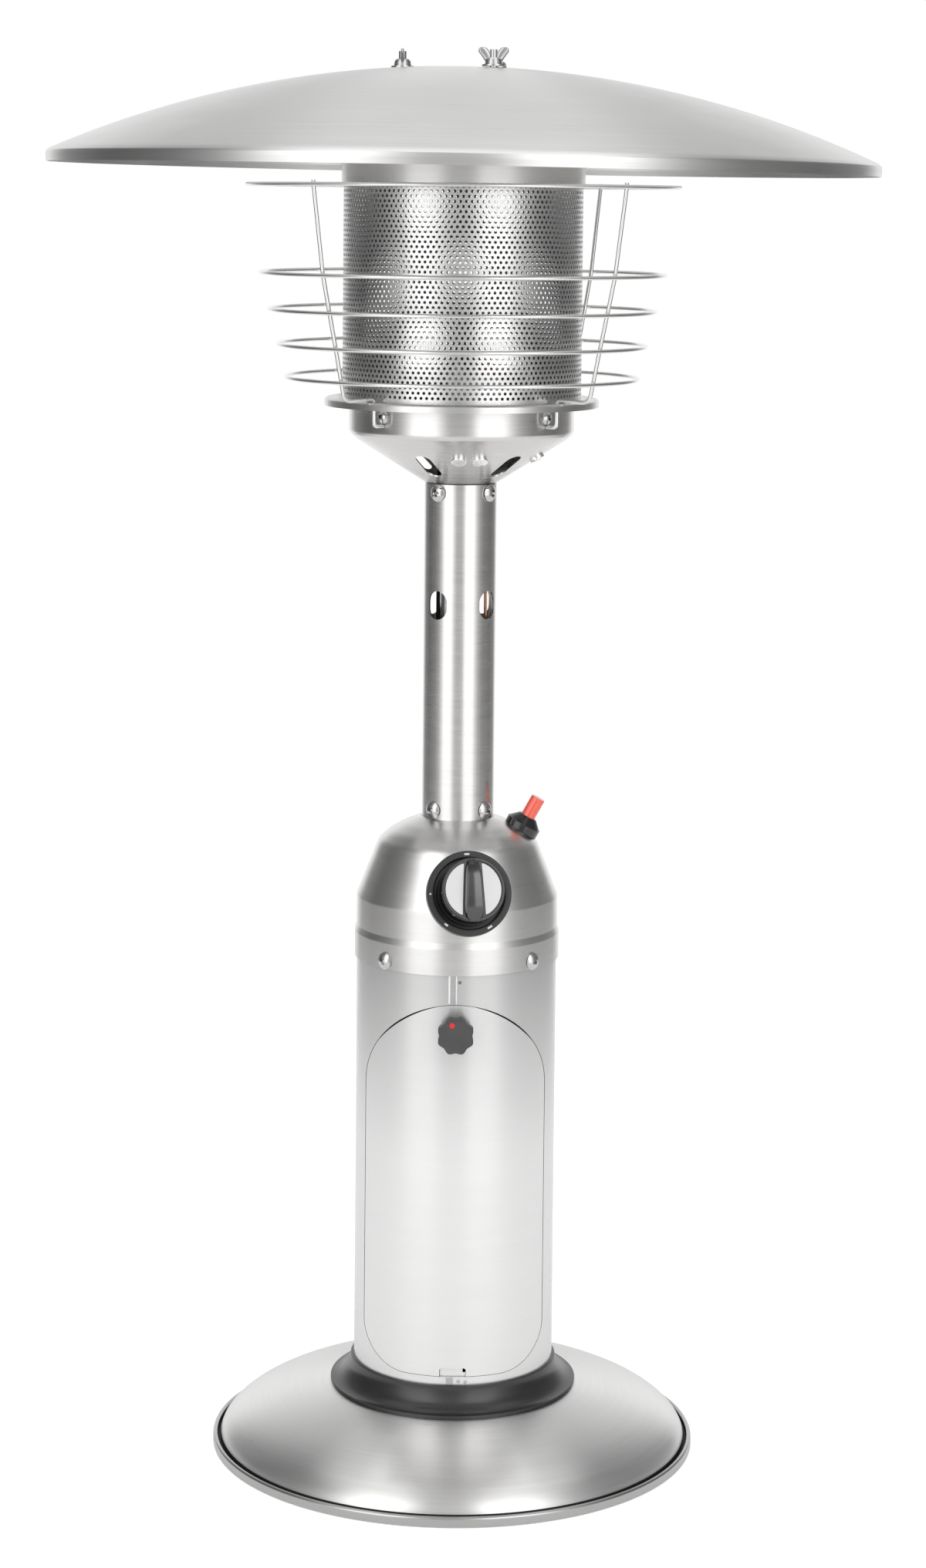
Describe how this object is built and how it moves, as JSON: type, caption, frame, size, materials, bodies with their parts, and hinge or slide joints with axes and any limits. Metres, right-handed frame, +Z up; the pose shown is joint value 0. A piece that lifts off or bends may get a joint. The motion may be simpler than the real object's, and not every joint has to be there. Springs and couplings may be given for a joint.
{
  "type": "portable propane heater",
  "caption": "Tabletop propane patio heater: round weighted base, tank housing with door, control knob, slim post, perforated emitter, wire guard and wide dished reflector.",
  "frame": {"origin": "on the table under the centre line, at the underside of the rubber pads", "axes": "+Z up along the post, -Y towards the door and the control knob, +X towards the igniter button"},
  "size_m": [0.5342, 0.5342, 0.9099],
  "materials": {
    "spun_steel": "spun stainless with fine circular brush lines",
    "housing_steel": "satin stainless sheet",
    "perforated_steel": "perforated stainless sheet",
    "plated_steel": "zinc-plated steel",
    "bright_fastener": "bright plated",
    "guard_wire": "polished stainless wire",
    "cast_weight": "rough cast",
    "black_plastic": "moulded black",
    "collar_black": "matte black",
    "grey_plastic": "dark grey moulded",
    "red_plastic": "red moulded",
    "knob_metal": "satin plates",
    "rubber_pad": "matte",
    "brass_part": "machined",
    "copper_line": "drawn copper",
    "die_cast": "die cast",
    "ceramic_white": "unglazed",
    "burner_steel": "heat-darkened steel"
  },
  "bodies": {
    "heater": {"base_pan": "spun_steel", "base_pads": "rubber_pad", "base_weight": "cast_weight", "base_cover": "spun_steel", "base_collar": "collar_black", "base_screws": "plated_steel", "tank_housing": "housing_steel", "housing_floor": "plated_steel", "head_dome": "spun_steel", "skirt_screws": "bright_fastener", "valve_plate": "plated_steel", "regulator": "die_cast", "inlet_socket": "brass_part", "inlet_seal": "rubber_pad", "valve_body": "brass_part", "knob_bezel": "black_plastic", "igniter_bezel": "black_plastic", "igniter_body": "ceramic_white", "igniter_lead": "rubber_pad", "tilt_switch": "grey_plastic", "post": "housing_steel", "post_socket": "plated_steel", "post_screws": "bright_fastener", "gas_tube": "brass_part", "gas_orifice": "brass_part", "pilot_tube": "die_cast", "thermocouple": "copper_line", "burner_bowl": "spun_steel", "bowl_screws": "bright_fastener", "cone_screws": "bright_fastener", "emitter_flange": "spun_steel", "emitter_screen": "perforated_steel", "emitter_cap": "spun_steel", "mixing_tube": "plated_steel", "burner_head": "burner_steel", "pilot_bracket": "plated_steel", "electrode": "ceramic_white", "reflector": "spun_steel", "reflector_studs": "bright_fastener", "reflector_spacers": "plated_steel", "reflector_washers": "bright_fastener", "guard_ring_1": "guard_wire", "guard_ring_2": "guard_wire", "guard_ring_3": "guard_wire", "guard_ring_4": "guard_wire", "guard_ring_5": "guard_wire", "guard_wires": "guard_wire"},
    "door": {"tank_door": "housing_steel"},
    "latch": {"latch_knob": "grey_plastic", "latch_marker": "red_plastic", "latch_spindle": "plated_steel"},
    "valve_cock": {"valve_plug": "brass_part"},
    "knob": {"control_knob": "black_plastic", "knob_inserts": "knob_metal", "valve_stem": "plated_steel"},
    "igniter": {"igniter_button": "red_plastic"},
    "wing_nut_a": {"wing_nut_1": "bright_fastener"},
    "wing_nut_b": {"wing_nut_2": "bright_fastener"},
    "wing_nut_c": {"wing_nut_3": "bright_fastener"}
  },
  "joints": [
    {"name": "door_tilt", "type": "hinge", "parent": "heater", "child": "door", "pos_m": [0, -0.0645, 0.0625], "axis": [1, 0, 0], "range_deg": [0, 75]},
    {"name": "latch_turn", "type": "hinge", "parent": "door", "child": "latch", "pos_m": [0, -0.0649, 0.286], "axis": [0, 1, 0], "range_deg": [0, 90]},
    {"name": "knob_turn", "type": "hinge", "parent": "heater", "child": "valve_cock", "pos_m": [0.00758, -0.06, 0.3735], "axis": [0.1192, -0.9436, 0.309], "range_deg": [0, 222]},
    {"name": "knob_push", "type": "slide", "parent": "valve_cock", "child": "knob", "axis": [-0.1192, 0.9436, -0.309], "range_m": [0, 0.003], "stiffness_N_per_m": 400, "springref_m": -0.003},
    {"name": "igniter_push", "type": "slide", "parent": "heater", "child": "igniter", "axis": [-0.4848, 0, -0.8746], "range_m": [0, 0.006], "stiffness_N_per_m": 500, "springref_m": -0.003},
    {"name": "wing_nut_a_turn", "type": "hinge", "parent": "heater", "child": "wing_nut_a", "pos_m": [0.01816, -0.03564, 0.9], "axis": [0, 0, 1], "continuous": true},
    {"name": "wing_nut_b_turn", "type": "hinge", "parent": "heater", "child": "wing_nut_b", "pos_m": [0.02179, 0.03355, 0.9], "axis": [0, 0, 1], "continuous": true},
    {"name": "wing_nut_c_turn", "type": "hinge", "parent": "heater", "child": "wing_nut_c", "pos_m": [-0.03995, 0.00209, 0.9], "axis": [0, 0, 1], "continuous": true}
  ]
}
